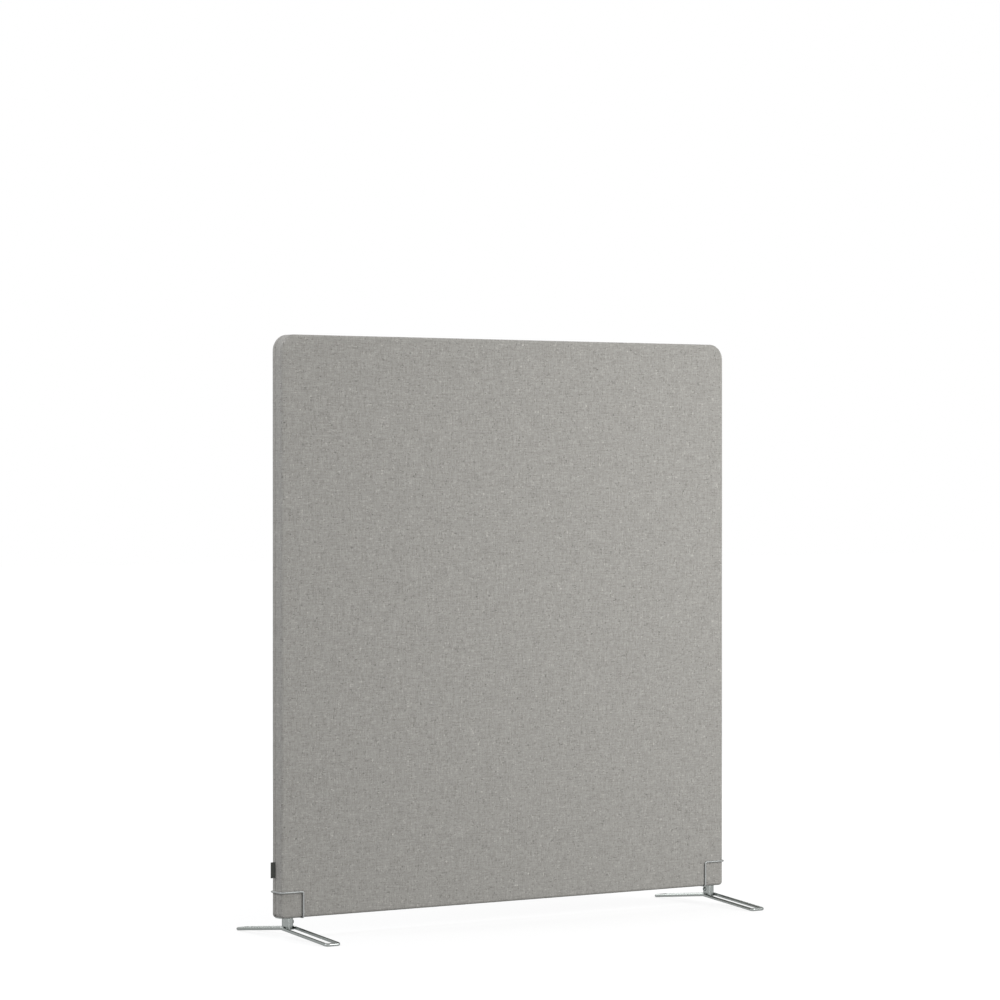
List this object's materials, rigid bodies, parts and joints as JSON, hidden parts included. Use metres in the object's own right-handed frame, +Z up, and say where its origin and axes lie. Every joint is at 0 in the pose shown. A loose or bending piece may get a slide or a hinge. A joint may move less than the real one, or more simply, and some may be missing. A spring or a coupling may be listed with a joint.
{
  "type": "acoustic divider screen",
  "caption": "Free-standing fabric-covered acoustic screen on bent-rod feet that swivel under its lower corners.",
  "frame": {"origin": "on the floor under the middle of the panel", "axes": "+X along the panel's width to the right seen from the front, +Y from the front face to the back, +Z up"},
  "size_m": [1.2158, 0.368, 1.29],
  "materials": {
    "frame_wood": "planed softwood",
    "dowel_wood": "fluted beech",
    "board": "smooth hardboard",
    "absorber_felt": "needled fibre slab",
    "wadding": "soft fibre fleece",
    "cover_fabric": "melange woven wool, warm mid grey",
    "staple_steel": "galvanised",
    "tag_weave": "fine woven charcoal label, bare",
    "wire_steel": "bright satin",
    "bracket_steel": "satin",
    "weld_metal": "satin, slightly rough",
    "screw_steel": "zinc plated",
    "foot_steel": "satin light grey",
    "clamp_steel": "dark satin"
  },
  "bodies": {
    "screen": {"frame_top_rail": "frame_wood", "frame_bottom_rail": "frame_wood", "frame_left_stile": "frame_wood", "frame_right_stile": "frame_wood", "frame_dowels": "dowel_wood", "centre_board": "board", "front_absorber": "absorber_felt", "back_absorber": "absorber_felt", "front_wadding": "wadding", "back_wadding": "wadding", "front_cover": "cover_fabric", "back_cover": "cover_fabric", "cover_staples": "staple_steel", "side_tag": "tag_weave", "left_corner_wire": "wire_steel", "right_corner_wire": "wire_steel", "left_bracket_plate": "bracket_steel", "right_bracket_plate": "bracket_steel", "left_bracket_welds": "weld_metal", "right_bracket_welds": "weld_metal", "left_spigot": "bracket_steel", "right_spigot": "bracket_steel", "left_bracket_screws": "screw_steel", "right_bracket_screws": "screw_steel"},
    "left_foot": {"left_post_tube": "foot_steel", "left_foot_loop": "foot_steel", "left_foot_welds": "weld_metal"},
    "right_foot": {"right_post_tube": "foot_steel", "right_foot_loop": "foot_steel", "right_foot_welds": "weld_metal"},
    "left_clamp": {"left_clamp_screw": "clamp_steel"},
    "right_clamp": {"right_clamp_screw": "clamp_steel"}
  },
  "joints": [
    {"name": "left_foot_swivel", "type": "hinge", "parent": "screen", "child": "left_foot", "pos_m": [-0.573, 0, 0.03], "axis": [0, 0, 1], "range_deg": [-90, 90]},
    {"name": "right_foot_swivel", "type": "hinge", "parent": "screen", "child": "right_foot", "pos_m": [0.573, 0, 0.03], "axis": [0, 0, 1], "range_deg": [-90, 90]},
    {"name": "left_clamp_release", "type": "slide", "parent": "left_foot", "child": "left_clamp", "axis": [1, 0, 0], "range_m": [0, 0.002]},
    {"name": "right_clamp_release", "type": "slide", "parent": "right_foot", "child": "right_clamp", "axis": [-1, 0, 0], "range_m": [0, 0.002]}
  ]
}
